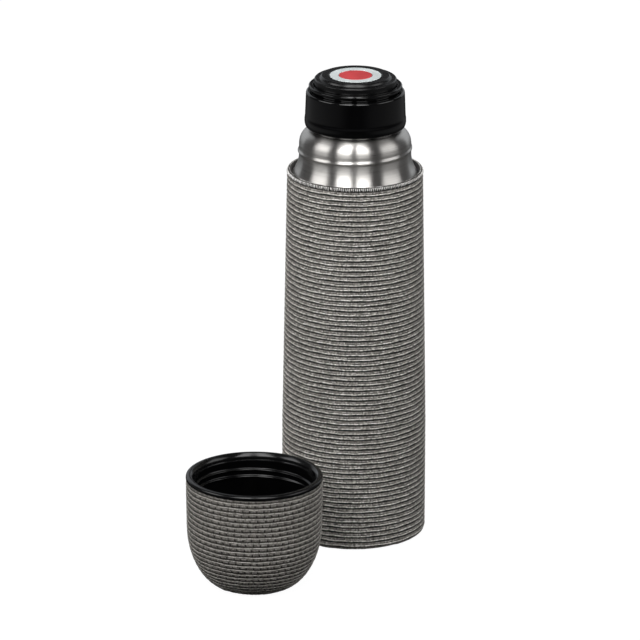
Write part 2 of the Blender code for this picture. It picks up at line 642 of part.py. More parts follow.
def valve_stem():
    """Rod from the button's socket down to the valve, with the collar that the spring pushes."""
    top = socket_top() - TOUCH
    collar = COLLAR_Z
    edge = SPRING_RADIUS + SPRING_WIRE + FINE_CHAMFER
    shoulder = PLUG_FOOT + STEM_SHOULDER
    tip = VALVE_TOP - VALVE_SEAL_THICKNESS - TOUCH - VALVE_THICKNESS + STEM_TIP_OVERHANG
    outline = [(0.0, top), (STEM_RADIUS - FINE_CHAMFER, top), (STEM_RADIUS, top - FINE_CHAMFER)]
    outline += [(STEM_RADIUS, collar + COLLAR_THICKNESS), (edge, collar + COLLAR_THICKNESS), (edge, collar)]
    outline += [(STEM_RADIUS, collar), (STEM_RADIUS, shoulder), (STEM_TIP_RADIUS, shoulder - FINE_CHAMFER)]
    outline += [(STEM_TIP_RADIUS, tip), (0.0, tip)]
    turned("valve_stem", outline, BLACK_SATIN, facets=SMALL_FACETS)


def valve_disc():
    """Disc snapped on the stem's tip, which carries the valve's seal."""
    top = VALVE_TOP - VALVE_SEAL_THICKNESS - TOUCH
    low = top - VALVE_THICKNESS
    hub_top = PLUG_FOOT + VALVE_HUB_RISE
    bore = STEM_TIP_RADIUS + TOUCH
    outline = [(VALVE_HUB, hub_top), (VALVE_HUB, top), (VALVE_RADIUS, top), (VALVE_RADIUS, low + CHAMFER)]
    outline += [(VALVE_RADIUS - CHAMFER, low), (bore, low), (bore, hub_top)]
    turned("valve_disc", outline, BLACK_SATIN)


def valve_seal():
    high = VALVE_TOP
    low = high - VALVE_SEAL_THICKNESS
    inside = VALVE_PORT - VALVE_SEAL_THICKNESS
    outside = VALVE_RADIUS - FINE_CHAMFER
    outline = [(outside - FINE_CHAMFER, high), (outside, high - FINE_CHAMFER), (outside, low)]
    outline += [(inside, low), (inside, high)]
    turned("valve_seal", outline, SILICONE)


def release_ring():
    """Flanged ring round the button: pressed, it frees the latch."""
    flange = RING_TOP - RING_THICKNESS
    outline = [(RING_OUTER - CHAMFER, RING_TOP), (RING_OUTER, RING_TOP - CHAMFER)]
    outline += [(RING_OUTER, flange + CHAMFER), (RING_OUTER - CHAMFER, flange)]
    outline += [(RING_SLEEVE_OUTER, flange), (RING_SLEEVE_OUTER, RING_FOOT)]
    outline += [(RING_SLEEVE_INNER, RING_FOOT), (RING_SLEEVE_INNER, RING_TOP - FINE_CHAMFER)]
    outline += [(RING_SLEEVE_INNER + FINE_CHAMFER, RING_TOP)]
    turned("release_ring", outline, BLACK_GLOSS)


def socket_top():
    """Top of the blind socket under the button."""
    return BUTTON_TOP - INLAY_DEPTH - 2 * BUTTON_WALL


def push_button():
    """Stepped cap with a sunk face for the two inlays and a socket for the stem."""
    plateau = BUTTON_RADIUS - BUTTON_LEDGE
    face = BUTTON_TOP - INLAY_DEPTH
    under = face - BUTTON_WALL
    foot = LEDGE_Z - BUTTON_DEPTH
    inner = BUTTON_RADIUS - BUTTON_WALL
    socket = STEM_RADIUS + TOUCH
    boss = socket + SOCKET_WALL
    outline = [(0.0, face), (INLAY_RADIUS + TOUCH, face), (INLAY_RADIUS + TOUCH, BUTTON_TOP)]
    outline += [(plateau - CHAMFER, BUTTON_TOP), (plateau, BUTTON_TOP - CHAMFER), (plateau + CHAMFER, LEDGE_Z)]
    outline += [(BUTTON_RADIUS - CHAMFER, LEDGE_Z), (BUTTON_RADIUS, LEDGE_Z - CHAMFER), (BUTTON_RADIUS, foot)]
    outline += [(inner, foot), (inner, LEDGE_Z - BUTTON_WALL), (plateau - BUTTON_WALL, under), (boss, under)]
    outline += [(boss, under - SOCKET_DEPTH), (socket, under - SOCKET_DEPTH)]
    outline += [(socket, socket_top()), (0.0, socket_top())]
    turned("push_button", outline, BLACK_GLOSS)


def button_inlays():
    """The pale ring and the red disc set into the button's face."""
    low = BUTTON_TOP - INLAY_DEPTH + TOUCH
    disc = INLAY_DISC_RADIUS
    outline = [(INLAY_RADIUS, BUTTON_TOP), (INLAY_RADIUS, low), (disc + TOUCH, low), (disc + TOUCH, BUTTON_TOP)]
    turned("button_ring_inlay", outline, PALE_INLAY)
    turned("button_disc_inlay", [(0.0, BUTTON_TOP), (disc, BUTTON_TOP), (disc, low), (0.0, low)], RED_INLAY)


def latch_plate():
    """Sliding plate round the stem, with the ramp under the ring's sleeve and a return tongue at its tail."""
    low = DECK_TOP + TOUCH
    high = low + LATCH_THICKNESS
    end = WELL_RADIUS - LATCH_END_GAP
    tail = -(WELL_RADIUS - RING_TRAVEL - LATCH_TAIL_GAP)
    wide = STEM_RADIUS + LATCH_BODY
    side = [(end, LATCH_ARM), (wide, LATCH_ARM), (wide, LATCH_HALF_WIDTH), (-wide, LATCH_HALF_WIDTH)]
    side += [(-wide, LATCH_TAIL), (tail, LATCH_TAIL)]
    plan = side + [(x, -y) for x, y in reversed(side)]
    plate = as_mesh(outline_solid("latch_plate", plan, low, high, BLACK_SATIN))
    ramp_end = RING_FOOT - LATCH_RAMP_GAP - (end - RING_SLEEVE_INNER)
    ramp_top = ramp_end + LATCH_RAMP_RUN
    back = end - LATCH_RAMP_RUN
    sunk = low + LATCH_THICKNESS / 2
    overlap = FINE_CHAMFER / 3
    ramp = [(end - overlap, sunk), (end - overlap, ramp_end), (back, ramp_top)]
    ramp += [(back - LATCH_RAMP_TOP, ramp_top), (back - LATCH_RAMP_TOP, sunk)]
    width = LATCH_ARM - overlap
    block = as_mesh(outline_solid("latch_ramp", ramp, -width, width, BLACK_SATIN, upright=True, group=CUTTERS))
    combine(plate, block, "UNION")
    bpy.ops.mesh.primitive_cylinder_add(vertices=SMALL_FACETS, radius=1.0, depth=4 * LATCH_THICKNESS)
    slot = bpy.context.object
    slot.name = "latch_slot"
    slot.scale = (STEM_BORE + RING_TRAVEL * 0.8, STEM_BORE + LATCH_SLOT_PLAY, 1.0)
    slot.location = (RING_TRAVEL / 2, 0.0, low)
    bpy.ops.object.transform_apply(location=False, rotation=False, scale=True)
    move_to(slot, CUTTERS)
    combine(plate, slot)


# The cup


def cup_sleeve():
    line = cup_line(CUP_HEIGHT - CUP_LIP)
    inner = inset(line, CUP_SLEEVE_WALL)
    inner[-1] = (CUP_FOOT_RADIUS, CUP_SLEEVE_WALL)
    turned("cup_sleeve", line + inner[::-1], CUP_FABRIC, at=CUP_PLACE)


def cup_liner():
    """Moulded inner cup. Its rounded lip covers the sleeve's edge, and its thread takes the flask's bead."""
    wall = cup_line(CUP_HEIGHT - CUP_LIP + TOUCH)
    outer = inset(wall, CUP_SLEEVE_WALL + TOUCH)[:-2]
    root = CUP_THREAD_ROOT
    inner = inset(wall, CUP_SLEEVE_WALL + TOUCH + CUP_LINER_WALL)[:-2]
    thread_top = CUP_HEIGHT - CUP_THREAD_DROP
    thread_foot = thread_top - CUP_THREAD_TURNS * CUP_LEAD
    lip = CUP_HEIGHT
    rim = arc((CUP_RADIUS - CUP_LIP_ROUND, lip - CUP_LIP_ROUND), CUP_LIP_ROUND, 90, 0, 3)
    mouth = [(root + CUP_LIP_WIDTH, lip), (root + CHAMFER, lip - CUP_LIP_BEVEL)]
    rows = wall_rows(root, thread_top + CUP_LEAD / 4, thread_foot - CUP_LEAD / 4, CUP_LEAD / 4)
    bowl = [p for p in inner if p[1] < thread_foot - CUP_LEAD / 2]
    floor = CUP_DISC_THICKNESS + TOUCH + CUP_LINER_WALL + CUP_FLOOR_LIFT
    under = floor - CUP_LINER_WALL
    inside = mouth + rows + [(min(r, root), max(z, floor)) for r, z in bowl] + [(0.0, floor)]
    outside = rim + [(CUP_RADIUS, lip - CUP_LIP + TOUCH)]
    outside += [(r, max(z, under)) for r, z in outer] + [(0.0, under)]
    liner = turned("cup_liner", inside[::-1] + outside, BLACK_GLOSS)
    span = (0.0, CUP_THREAD_TURNS)
    roll_thread(liner, lambda z: root, CUP_LEAD, thread_top, span, CUP_THREAD_CREST - root, CUP_RIDGE_HALF)
    liner.location = CUP_PLACE


def cup_base_disc():
    edge = CUP_FOOT_RADIUS - TOUCH
    high = CUP_DISC_THICKNESS
    outline = [(0.0, high), (edge, high), (edge, CHAMFER), (edge - CHAMFER, 0.0), (0.0, 0.0)]
    turned("cup_base_disc", outline, BLACK_SATIN, at=CUP_PLACE)


for old in list(bpy.data.objects):
    bpy.data.objects.remove(old)

PARTS = collection("vacuum_flask")
CUTTERS = collection("cutters")
CUP_PLACE = (CUP_X, CUP_Y, 0.0)

STEEL = material("brushed_steel", (0.62, 0.60, 0.57), 0.28, 1.0)
SLEEVE_FABRIC = material("sleeve_fabric", (0.36, 0.33, 0.30), 0.75)
CUP_FABRIC = material("cup_fabric", (0.25, 0.23, 0.21), 0.8)
BLACK_GLOSS = material("black_gloss_plastic", (0.012, 0.012, 0.013), 0.15)
BLACK_SATIN = material("black_satin_plastic", (0.02, 0.02, 0.021), 0.4)
PALE_INLAY = material("pale_inlay", (0.72, 0.76, 0.76), 0.35)
RED_INLAY = material("red_inlay", (0.75, 0.07, 0.08), 0.35)
SILICONE = material("clear_silicone", (0.78, 0.78, 0.76), 0.45)
SEAL_RUBBER = material("seal_rubber", (0.03, 0.03, 0.03), 0.6)
PAD = material("base_rubber", (0.03, 0.03, 0.032), 0.7)
FOIL = material("reflective_foil", (0.80, 0.80, 0.80), 0.25, 1.0)
GETTER = material("getter_metal", (0.45, 0.44, 0.42), 0.5, 1.0)
SOLDER = material("solder", (0.55, 0.55, 0.56), 0.45, 1.0)
SPRING_STEEL = material("spring_steel", (0.55, 0.55, 0.56), 0.35, 1.0)

base_pad()
outer_bottom()
outer_shell()
inner_vessel()
inner_bottom()
reflective_foil()
getter()
vacuum_seal()
body_sleeve()
stopper_shell()
stopper_plug()
plug_gasket()
valve_stem()
stem_o_ring()
valve_disc()
valve_seal()
main_spring()
latch_plate()
release_ring()
push_button()
button_inlays()
cup_sleeve()
cup_liner()
cup_base_disc()
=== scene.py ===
"""Looks of the vacuum flask: fine meshes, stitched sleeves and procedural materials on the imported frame.

Metres, +Z up. A turned piece is spun from the outline of its own CAD node, so sizes and places are the
frame's. Rows of stitched tape, threads, the spring and the hem are built here on those outlines.
"""

import json
import math
from collections import namedtuple

import bpy
import numpy as np
from mathutils import Matrix, Vector


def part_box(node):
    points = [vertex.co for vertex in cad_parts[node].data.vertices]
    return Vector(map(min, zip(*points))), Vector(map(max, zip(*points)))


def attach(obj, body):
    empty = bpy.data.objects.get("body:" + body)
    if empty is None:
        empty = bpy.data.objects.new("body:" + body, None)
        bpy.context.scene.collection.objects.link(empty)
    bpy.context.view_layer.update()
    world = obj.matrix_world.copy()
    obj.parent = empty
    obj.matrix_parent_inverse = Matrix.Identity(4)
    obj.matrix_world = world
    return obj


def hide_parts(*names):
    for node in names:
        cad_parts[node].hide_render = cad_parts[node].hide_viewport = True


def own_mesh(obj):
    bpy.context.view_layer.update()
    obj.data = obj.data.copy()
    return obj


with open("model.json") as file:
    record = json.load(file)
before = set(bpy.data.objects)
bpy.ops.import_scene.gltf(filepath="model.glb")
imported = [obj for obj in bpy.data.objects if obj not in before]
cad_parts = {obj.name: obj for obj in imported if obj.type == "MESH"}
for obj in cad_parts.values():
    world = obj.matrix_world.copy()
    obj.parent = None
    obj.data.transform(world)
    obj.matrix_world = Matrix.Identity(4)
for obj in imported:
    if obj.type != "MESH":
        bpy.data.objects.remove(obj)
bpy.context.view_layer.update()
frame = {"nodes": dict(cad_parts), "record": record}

MM = 0.001
SEGMENTS = 160  # round a plain turned piece
THREAD_SEGMENTS = 240
SMALL_SEGMENTS = 64
BAKE_MAP = "OFBake"

# Stitched tape: share of the pitch down the row, depth under the crest in mm, and whether the stitches cut it
TAPE_ROW = [
    (0.04, 0.95, False),
    (0.22, 0.45, True),
    (0.36, 0.0, True),
    (0.54, 0.08, True),
    (0.64, 0.50, False),
]
GAP_DEPTH = max(depth for _, depth, _ in TAPE_ROW) * MM
ROW_SHIFT = 0.37  # how far each row's stitches stand past those of the row above, in blocks
TAPE_FUZZ = 0.05 * MM  # how unevenly the blocks stand out
CORD_PLACE = 0.765  # centre of the cord, as a share of the pitch
CORD_SINK = 0.30 * MM  # centre of the cord under the crest
CORD_SIDES = 5
CORD_WANDER = 0.07 * MM
CORD_WAVES = (5, 11, 23)  # to a turn
CORD_BEADING = 0.16  # how much its thickness varies
Tape = namedtuple("Tape", "pitch blocks notch notch_depth relief cord flipped")  # notch is a share of a block
BODY_TAPE = Tape(2.6 * MM, 60, 0.11, 0.40 * MM, 1.0, 0.37 * MM, False)
CUP_TAPE = Tape(2.5 * MM, 56, 0.17, 0.68 * MM, 0.65, 0.30 * MM, True)
SLEEVE_CORNER = 1.0 * MM
HEM = 2.5 * MM  # height of the overlocked hem at the sleeve's top
HEM_STITCHES = 216
HEM_CORD = 0.25 * MM
HEM_START = 0.75 * MM  # where the stitches begin, from the top of the sleeve's outside
HEM_STITCH_SIDES = 6
HEM_STITCH_STEPS = 9
BODY_SEED = 3
CUP_SEED = 5
HEM_SEED = 11

# The CAD model's flare and rolled bead, with heights from the sleeve's top
FLARE_FOOT = -2.5 * MM
FLARE_RIM = 8.0 * MM
FLARE_POWER = 2.0
DOME_FOOT = 13.7 * MM
BEAD_TOP = 15.0 * MM
BEAD_SPAN = (0.85, 1.9)  # in turns
BEAD_HEIGHT = 0.65 * MM
BEAD_HALF = 1.44 * MM
SHELL_CORNER = 0.6 * MM

# The CAD model's two female threads, which stand inwards
CUP_LEAD = 3.6 * MM
STOPPER_LEAD = 5.0 * MM
THREAD_SPAN = (0.0, 2.0)  # in turns
THREAD_DEPTH = 1.0 * MM
LINER_ROOT = 29.8 * MM  # radius of the wall
LINER_DROP = 5.6 * MM  # from the cup's rim down to its thread
LINER_LIP = 1.6 * MM  # left clear of the thread under the cup's rim
LINER_RIDGE_HALF = 0.8 * MM
LINER_CORNER = 0.8 * MM
NECK_BORE = 18.05 * MM  # radius of the wall
NECK_DROP = 5.9 * MM  # from the neck's lip down to the stopper's thread
SPRING_TURNS = 5
SPRING_WIRE = 0.55 * MM  # radius of the wire
SPRING_STEPS = 40  # to a turn
SPRING_SIDES = 14

CORNER = 0.35 * MM  # rounding of a moulded or pressed edge
SHARP_TURN = math.radians(35)
SLIGHT_TURN = math.radians(1)
SAME_PLACE = 0.02 * MM
SAME_HEIGHT = 0.05 * MM
STRAIGHT = 0.004 * MM  # a point this close to a straight run is left out
TINY = 1e-6
PATH_STEP = 0.3 * MM
NORMAL_REACH = 0.6 * MM
WALL_STEP = 0.4 * MM
WALL_PLAY = 0.25 * MM  # a point this close to a wall is on it
THREAD_PLAY = 0.2 * MM  # the same, for a point on a thread of the CAD model

CAMERA_PLACE = (-0.017356, -3.229352, 1.197092)
CAMERA_DIP = 18.586  # degrees below level
CAMERA_ROLL = 0.003025  # radians
CAMERA_LENS = 379.4  # mm, on a 36 mm sensor
FLOOR_REACH = 6
BLACK = (0.0015, 0.0015, 0.0017)


# Reading the frame


def axis_of(node):
    """Where the node's upright axis stands, for a node that is round."""
    low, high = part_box(node)
    return (low.x + high.x) / 2, (low.y + high.y) / 2


def column_count(node):
    """How many columns of points the CAD node has round its axis."""
    x, y = axis_of(node)
    places = [(v.co.x - x, v.co.y - y) for v in frame["nodes"][node].data.vertices]
    widest = max(math.hypot(*place) for place in places)
    rim = [place for place in places if math.hypot(*place) > 0.97 * widest]
    return len({round(math.degrees(math.atan2(v, u))) for u, v in rim})


def cut_pieces(node):
    """The node's triangles cut by a half-plane through its axis, midway between two columns of points.

    Each piece is a pair of (radius, height) points, with the radius brought back to that of the columns.
    """
    mesh = frame["nodes"][node].data
    mesh.calc_loop_triangles()
    x, y = axis_of(node)
    half = math.pi / column_count(node)
    c, s = math.cos(half), math.sin(half)
    seen = []
    for vertex in mesh.vertices:
        east, north = vertex.co.x - x, vertex.co.y - y
        seen.append((east * c + north * s, vertex.co.z, north * c - east * s))
    pieces = []
    for triangle in mesh.loop_triangles:
        corners = [seen[i] for i in triangle.vertices]
        cut = []
        for a, b in zip(corners, corners[1:] + corners[:1]):
            if (a[2] < 0) != (b[2] < 0):
                share = a[2] / (a[2] - b[2])
                cut.append(((a[0] + (b[0] - a[0]) * share) / c, a[1] + (b[1] - a[1]) * share))
        if len(cut) == 2 and max(cut)[0] > TINY:
            (r0, z0), (r1, z1) = sorted(cut)
            if r0 < 0:
                r0, z0 = 0.0, z0 - (z1 - z0) * r0 / (r1 - r0)
            pieces.append(((r0, z0), (r1, z1)))
    return pieces


def outline_of(node):
    """A turned CAD node's (radius, height) outline, from its top down its outside. Says if it is closed."""
    points = []
    links = []

    def index_of(place):
        for index, known in enumerate(points):
            if math.dist(place, known) < SAME_PLACE:
                return index
        points.append(place)
        links.append(set())
        return len(points) - 1

    for first, second in cut_pieces(node):
        a, b = index_of(first), index_of(second)
        if a != b:
            links[a].add(b)
            links[b].add(a)
    ends = sorted((i for i, near in enumerate(links) if len(near) == 1), key=lambda i: -points[i][1])
    start = ends[0] if ends else max(range(len(points)), key=lambda i: (round(points[i][1], 5), points[i][0]))
    order = [start, max(links[start], key=lambda i: points[i])]
    while len(order) <= len(points):
        onward = links[order[-1]] - {order[-2]}
        if not onward or start in onward:
            break
        order.append(onward.pop())
    line = [points[i] for i in order]
    return without_straights(line, not ends), not ends


def without_straights(line, closed):
    """The line without the points that lie on a straight run."""
    kept = []
    for index, here in enumerate(line):
        before = kept[-1] if kept else line[-1]
        after = line[(index + 1) % len(line)]
        run = Vector(after) - Vector(before)
        off = (Vector(here) - Vector(before)).cross(run) / max(run.length, 1e-9)
        if abs(off) > STRAIGHT or not closed and index in (0, len(line) - 1):
            kept.append(here)
    return kept


def outer_line(node):
    """The part of a closed outline that runs down the outside, from its highest point to its lowest."""
    line, _ = outline_of(node)
    lowest = min(z for _, z in line)
    end = next(i for i, (_, z) in enumerate(line) if z < lowest + 1e-5)
    return line[: end + 1]


# Outlines


def rounded(line, closed, corner, steps=5):
    """The line with sharp corners rounded and shallow bends drawn out into curves."""
    points = [Vector(p) for p in line]
    count = len(points)
    made = []
    for i, here in enumerate(points):
        if not closed and i in (0, count - 1):
            made.append(tuple(here))
            continue
        back = points[i - 1] - here
        on = points[(i + 1) % count] - here
        turn = math.pi - back.angle(on)
        if turn < SLIGHT_TURN:
            made.append(tuple(here))
            continue
        reach = 0.45 * min(back.length, on.length)
        if turn > SHARP_TURN:
            reach = min(reach, corner * math.tan(turn / 2))
        first = here + back.normalized() * reach
        last = here + on.normalized() * reach
        for share in np.linspace(0, 1, steps + 1):
            made.append(tuple(first * (1 - share) ** 2 + here * 2 * share * (1 - share) + last * share**2))
    return made


def dense(line, pitch):
    """The line with points added, so that no step is longer than the pitch."""
    made = [line[0]]
    for a, b in zip(line, line[1:]):
        count = max(1, math.ceil(math.dist(a, b) / pitch))
        for step in range(1, count + 1):
            made.append((a[0] + (b[0] - a[0]) * step / count, a[1] + (b[1] - a[1]) * step / count))
    return made


class Path:
    """A line with places and outward normals at any length along it, for a line that runs down an outside."""

    def __init__(self, line):
        self.points = np.array(dense(line, PATH_STEP))
        steps = np.diff(self.points, axis=0)
        self.lengths = np.concatenate([[0], np.cumsum(np.linalg.norm(steps, axis=1))])
        self.total = self.lengths[-1]

    def at(self, length):
        """The (radius, height) at a length from the start."""
        return np.array([np.interp(length, self.lengths, self.points[:, k]) for k in (0, 1)])

    def normal(self, length):
        """The outward direction there, taken over a short stretch so that it turns smoothly."""
        along = self.at(length + NORMAL_REACH) - self.at(length - NORMAL_REACH)
        along /= np.linalg.norm(along)
        return np.array([-along[1], along[0]])


# Meshes


def object_of(name, points, faces, maps=None):
    """A smooth object, with a BAKE_MAP UV map where one is given."""
    mesh = bpy.data.meshes.new(name)
    mesh.from_pydata(points, [], faces)
    if maps is not None:
        mesh.uv_layers.new(name=BAKE_MAP).data.foreach_set("uv", np.array(maps, np.float32).ravel())
    mesh.shade_smooth()
    made = bpy.data.objects.new(name, mesh)
    bpy.context.scene.collection.objects.link(made)
    return made


def grid(name, radii, heights, angles, closed, centre):
    """A skin over rows of points round an axis, each with its own angles. A row of radius 0 is one point."""
    rows, columns = angles.shape
    points = []
    index = []
    for row in range(rows):
        at_axis = radii[row].max() < TINY
        start = len(points)
        for column in range(1 if at_axis else columns):
            r, a = radii[row][column], angles[row][column]
            points.append((centre[0] + r * math.cos(a), centre[1] + r * math.sin(a), heights[row][column]))
        index.append([start] * columns if at_axis else list(range(start, start + columns)))
    along = np.hypot(np.diff(radii[:, 0]), np.diff(heights[:, 0]))
    along = np.concatenate([[0], np.cumsum(along)])
    total = along[-1]
    if closed:
        total += math.hypot(radii[-1, 0] - radii[0, 0], heights[-1, 0] - heights[0, 0])
    along = np.append(along, total) / total
    faces = []
    maps = []
    for row in range(rows if closed else rows - 1):
        below = (row + 1) % rows
        for column in range(columns):
            beside = (column + 1) % columns
            corners = (index[row][column], index[below][column], index[below][beside], index[row][beside])
            u, v = column / columns, (column + 1) / columns
            places = [(u, along[row]), (u, along[row + 1]), (v, along[row + 1]), (v, along[row])]
            kept = [k for k in range(4) if corners[k] != corners[k - 1]]
            faces.append([corners[k] for k in kept])
            maps += [places[k] for k in kept]
    return object_of(name, points, faces, maps)


def spun(name, line, closed, centre, segments):
    """A surface turned about an upright axis from a (radius, height) line."""
    turn = np.linspace(0, math.tau, segments, endpoint=False)
    radii = np.repeat(np.array([[r] for r, _ in line]), segments, axis=1)
    heights = np.repeat(np.array([[z] for _, z in line]), segments, axis=1)
    angles = np.repeat(turn[None, :], len(line), axis=0)
    made = grid(name, radii, heights, angles, closed, centre)
    outward(made)
    return made


def outward(made):
    """Turns every face out, if the surface came inside out."""
    mesh = made.data
    mesh.calc_loop_triangles()
    points = np.empty(len(mesh.vertices) * 3)
    mesh.vertices.foreach_get("co", points)
    points = points.reshape(-1, 3)
    corners = np.empty(len(mesh.loop_triangles) * 3, np.int32)
    mesh.loop_triangles.foreach_get("vertices", corners)
    if np.linalg.det(points[corners.reshape(-1, 3)] - points.mean(0)).sum() < 0:
        mesh.flip_normals()


def raise_ridge(made, wall, band, lead, top, span, height, half_width, centre):
    """Raises a right-hand helical ridge on a wall, inwards where height is negative.

    wall gives the wall's radius at a height and band the heights that the ridge may touch. The helix crosses
    +X at top. The ridge takes the turns in span below it and fades in and out over a quarter turn.
    """
    for vertex in made.data.vertices:
        x, y, z = vertex.co.x - centre[0], vertex.co.y - centre[1], vertex.co.z
        radius = math.hypot(x, y)
        if not band[0] < z < band[1] or abs(radius - wall(z)) > WALL_PLAY:
            continue
        turned_by = (-math.atan2(y, x) / math.tau) % 1.0
        along = round((top - z) / lead - turned_by) + turned_by
        off = z - (top - lead * along)
        fade = max(0.0, min(1.0, 4 * (along - span[0]), 4 * (span[1] - along)))
        if fade == 0 or abs(off) >= half_width:
            continue
        ridge = height * (3 - 2 * fade) * fade**2 * (0.5 + 0.5 * math.cos(math.pi * off / half_width))
        vertex.co.x += x / radius * ridge
        vertex.co.y += y / radius * ridge


def rings(name, centres, radius, segments, sides, wave, beading, rng, centre=(0.0, 0.0)):
    """Cords laid round the axis: one closed ring for each (radius, height) centre."""
    points = []
    faces = []
    maps = []
    turn = np.linspace(0, math.tau, segments, endpoint=False)
    round_cord = np.linspace(0, math.tau, sides, endpoint=False)
    for number, (r, z) in enumerate(centres):
        start = len(points)
        phases = rng.uniform(0, math.tau, 3)
        lift = wave * sum(np.sin(waves * turn + phase) for waves, phase in zip(CORD_WAVES, phases))
        thick = radius * (1 + beading * rng.uniform(-1, 1, segments))
        for column in range(segments):
            c, s = math.cos(turn[column]), math.sin(turn[column])
            for side in range(sides):
                reach = r + thick[column] * math.cos(round_cord[side])
                height = z + lift[column] + thick[column] * math.sin(round_cord[side])
                points.append((centre[0] + reach * c, centre[1] + reach * s, height))
        for column in range(segments):
            near = start + column * sides
            far = start + (column + 1) % segments * sides
            for side in range(sides):
                beside = (side + 1) % sides
                faces.append((near + side, far + side, far + beside, near + beside))
                u, v = column / segments, (column + 1) / segments
                low = (number + side / sides) / len(centres)
                high = (number + (side + 1) / sides) / len(centres)
                maps += [(u, low), (v, low), (v, high), (u, high)]
    made = object_of(name, points, faces, maps)
    outward(made)
    return made


def tube(name, spine, radius, sides):
    """Round wire along a list of points, with flat ends."""
    spine = [Vector(p) for p in spine]
    points = []
    faces = []
    across = Vector((0, 0, 1))
    for i, here in enumerate(spine):
        along = (spine[min(i + 1, len(spine) - 1)] - spine[max(i - 1, 0)]).normalized()
        first = along.cross(across).normalized()
        second = first.cross(along)
        for k in range(sides):
            angle = math.tau * k / sides
            points.append(here + (first * math.cos(angle) + second * math.sin(angle)) * radius)
    for i in range(len(spine) - 1):
        for k in range(sides):
            a, b = i * sides + k, i * sides + (k + 1) % sides
            faces.append((a, b, b + sides, a + sides))
    faces.append(list(range(sides))[::-1])
    faces.append(list(range(len(points) - sides, len(points))))
    made = object_of(name, points, faces)
    outward(made)
    return made


# Materials


class Finish:
    """A Principled material with short calls for the nodes that the finishes below share."""

    def __init__(self, name, colour, roughness, metallic=0.0):
        self.material = bpy.data.materials.new(name)
        self.material.use_nodes = True
        self.tree = self.material.node_tree
        self.shader = self.tree.nodes["Principled BSDF"]
        self.set("Base Color", (*colour, 1.0))
        self.set("Roughness", roughness)
        self.set("Metallic", metallic)
        self.place = self.tree.nodes.new("ShaderNodeTexCoord").outputs["Object"]

    def set(self, socket, value):
        self.shader.inputs[socket].default_value = value

    def link(self, output, target):
        self.tree.links.new(output, target)

    def node(self, kind, **settings):
        made = self.tree.nodes.new(kind)
        for key, value in settings.items():
            setattr(made, key, value)
        return made

    def scaled(self, x, y, z):
        mapping = self.node("ShaderNodeMapping")
        mapping.inputs["Scale"].default_value = (x, y, z)
        self.link(self.place, mapping.inputs["Vector"])
        return mapping.outputs["Vector"]

    def noise(self, scale, detail=2.0, vector=None):
        made = self.node("ShaderNodeTexNoise")
        made.inputs["Scale"].default_value = scale
        made.inputs["Detail"].default_value = detail
        self.link(vector or self.place, made.inputs["Vector"])
        return made.outputs["Fac"]

    def ramp(self, value, low, high, low_to, high_to):
        """The value's range low to high spread over another range."""
        made = self.node("ShaderNodeMapRange")
        for socket, number in zip(("From Min", "From Max", "To Min", "To Max"), (low, high, low_to, high_to)):
            made.inputs[socket].default_value = number
        self.link(value, made.inputs["Value"])
        return made.outputs["Result"]

    def math(self, operation, a, b):
        made = self.node("ShaderNodeMath", operation=operation)
        for socket, value in zip(made.inputs, (a, b)):
            if isinstance(value, (int, float)):
                socket.default_value = value
            else:
                self.link(value, socket)
        return made.outputs["Value"]

    def mix(self, share, a, b):
        made = self.node("ShaderNodeMix", data_type="RGBA")
        for number, value in ((0, share), (6, a), (7, b)):
            socket = made.inputs[number]
            if isinstance(value, tuple):
                socket.default_value = (*value, 1.0)
            elif isinstance(value, (int, float)):
                socket.default_value = value
            else:
                self.link(value, socket)
        return made.outputs[2]

    def attribute(self, name):
        return self.node("ShaderNodeAttribute", attribute_name=name).outputs["Fac"]

    def bump(self, height, strength, distance):
        made = self.node("ShaderNodeBump")
        made.inputs["Strength"].default_value = strength
        made.inputs["Distance"].default_value = distance
        self.link(height, made.inputs["Height"])
        self.link(made.outputs["Normal"], self.shader.inputs["Normal"])

    def to(self, socket, output):
        self.link(output, self.shader.inputs[socket])


def brushed_steel():
    """Stainless steel brushed round the axis, so highlights stand upright."""
    made = Finish("brushed_steel", (0.62, 0.60, 0.57), 0.36, 1.0)
    streaks = made.noise(1.0, 3.0, made.scaled(30, 30, 5200))
    clouds = made.noise(55.0, 2.0)
    share = made.ramp(streaks, 0.3, 0.7, 0, 1)
    made.to("Base Color", made.mix(share, (0.55, 0.53, 0.505), (0.69, 0.675, 0.65)))
    rough = made.ramp(streaks, 0.3, 0.7, 0.28, 0.36)
    rough = made.math("ADD", rough, made.ramp(clouds, 0.3, 0.7, -0.02, 0.03))
    made.to("Roughness", rough)
    made.set("Anisotropic", 0.95)
    made.set("Anisotropic Rotation", 0.25)
    tangent = made.node("ShaderNodeTangent", direction_type="RADIAL", axis="Z")
    made.to("Tangent", tangent.outputs["Tangent"])
    made.bump(streaks, 0.05, 0.02 * MM)
    return made.material


def plastic(name, colour, roughness, grain):
    """Moulded plastic with a faint flow in its gloss and a fine grain."""
    made = Finish(name, colour, roughness)
    clouds = made.noise(90.0, 3.0)
    fine = made.noise(1800.0, 2.0)
    made.to("Roughness", made.ramp(clouds, 0.3, 0.7, roughness * 0.8, roughness * 1.25))
    lighter = tuple(min(1.0, c * 1.25) for c in colour)
    made.to("Base Color", made.mix(made.ramp(clouds, 0.35, 0.65, 0, 1), colour, lighter))
    made.bump(fine, grain, 0.02 * MM)
    return made.material


